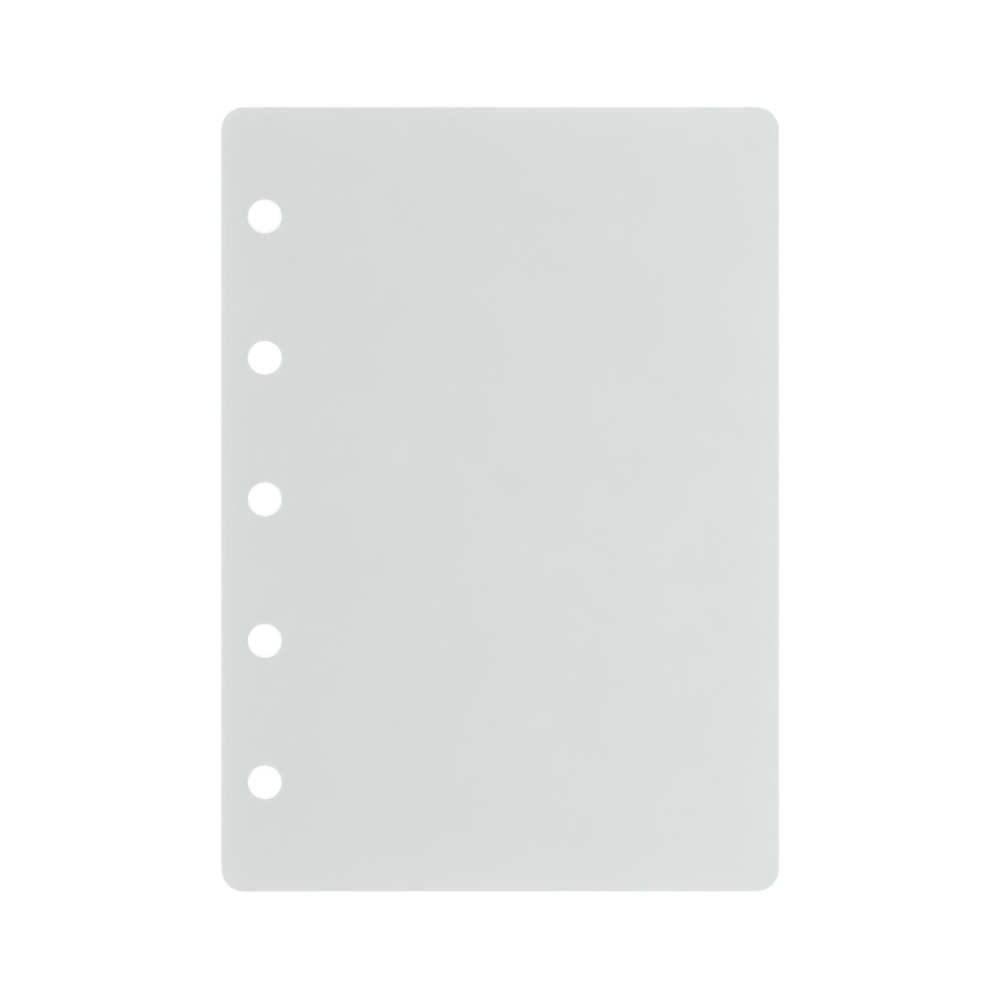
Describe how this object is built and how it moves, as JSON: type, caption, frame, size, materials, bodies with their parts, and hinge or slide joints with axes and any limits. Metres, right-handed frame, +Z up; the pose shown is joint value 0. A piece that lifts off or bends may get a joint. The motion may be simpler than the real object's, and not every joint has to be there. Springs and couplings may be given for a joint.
{
  "type": "planner divider page",
  "caption": "Frosted translucent divider page for a small ring planner: a thin flat plastic sheet with round corners and a column of ring holes along one long edge.",
  "frame": {"origin": "centre of the page's back face, on the surface that the page lies on", "axes": "+X from the binding edge with the ring holes to the fore edge, +Y towards the head of the page, +Z up through the sheet and out of its front face"},
  "size_m": [0.0748, 0.1052, 0.0005],
  "materials": {
    "divider_sheet": "satin"
  },
  "bodies": {
    "root": {"divider_sheet": "divider_sheet"}
  },
  "joints": []
}
